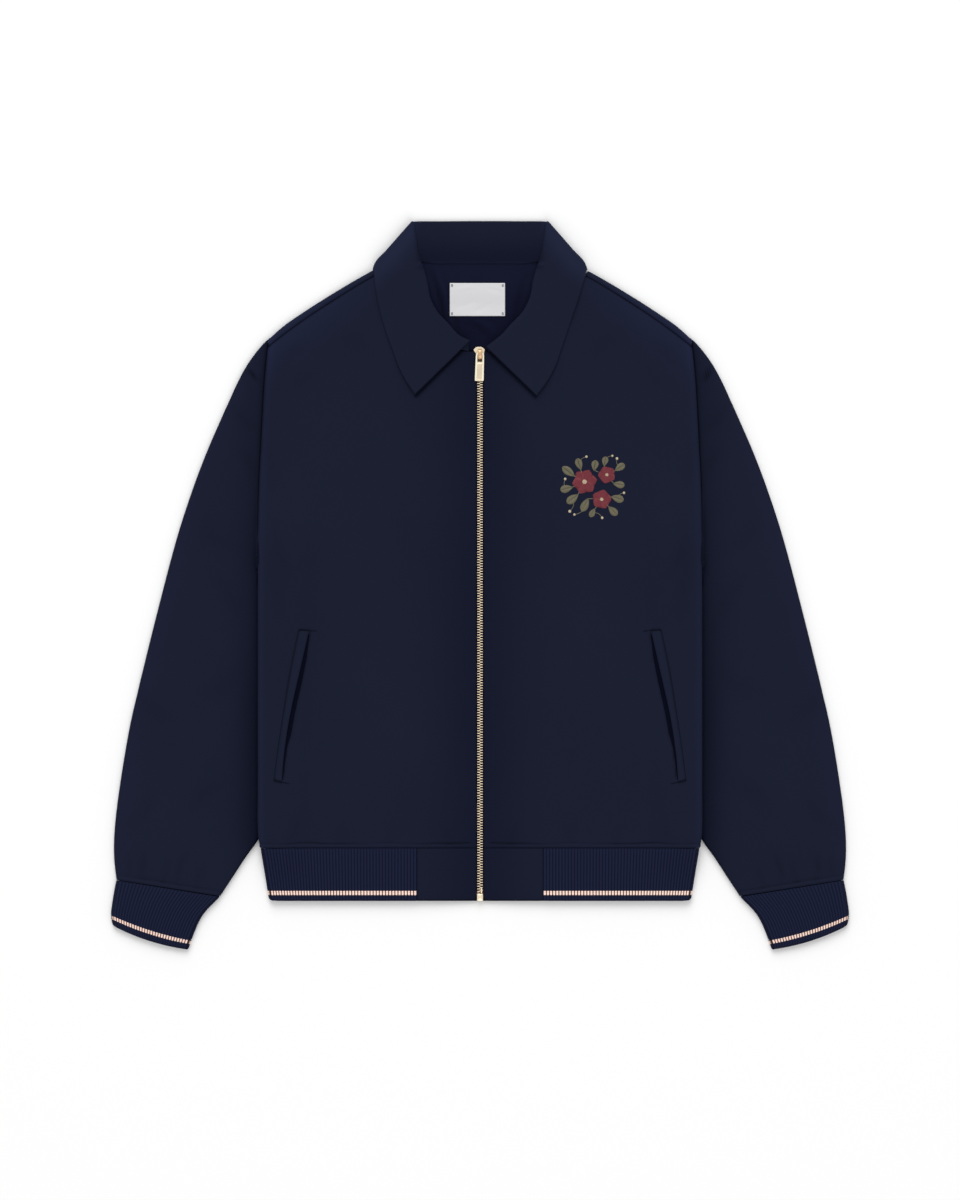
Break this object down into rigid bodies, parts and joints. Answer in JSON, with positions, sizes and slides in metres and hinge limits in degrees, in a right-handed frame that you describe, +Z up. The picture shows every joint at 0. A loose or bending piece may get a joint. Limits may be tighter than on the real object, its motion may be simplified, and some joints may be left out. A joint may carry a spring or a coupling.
{
  "type": "bomber jacket",
  "caption": "Zipped bomber jacket with turn-down collar, slanted welt pockets and ribbed hem and cuffs, laid flat on its back, sleeves at its sides.",
  "frame": {"origin": "middle of the jacket's outline, on the surface that it lies on", "axes": "+Z up from the surface, out of the jacket's front; +Y towards the collar; +X towards the wearer's left sleeve"},
  "size_m": [0.7968, 0.7853, 0.0161],
  "materials": {
    "cloth": "matt navy twill",
    "facing": "dark navy facing cloth",
    "rib_knit": "navy one by one rib knit with a pale stripe",
    "label": "white satin",
    "zip_tape": "navy woven tape",
    "zip_metal": "polished light gold"
  },
  "bodies": {
    "jacket": {"back": "cloth", "front_left": "cloth", "front_right": "cloth", "sleeve_left": "cloth", "sleeve_right": "cloth", "collar": "cloth", "hem_tab_left": "cloth", "hem_tab_right": "cloth", "pocket_welt_left": "cloth", "pocket_welt_right": "cloth", "back_neck_facing": "facing", "neck_label": "label", "cuff_left": "rib_knit", "cuff_right": "rib_knit", "hem_rib_front_left": "rib_knit", "hem_rib_front_right": "rib_knit", "hem_rib_back": "rib_knit", "zip_tape_left": "zip_tape", "zip_tape_right": "zip_tape", "zip_chain": "zip_metal", "zip_bottom_box": "zip_metal", "zip_slider": "zip_metal"},
    "pull_tab": {"zip_pull_tab": "zip_metal"}
  },
  "joints": [
    {"name": "pull_tab_hinge", "type": "hinge", "parent": "jacket", "child": "pull_tab", "pos_m": [0, 0.2488, 0.009], "axis": [-1, 0, 0], "range_deg": [0, 165]}
  ]
}
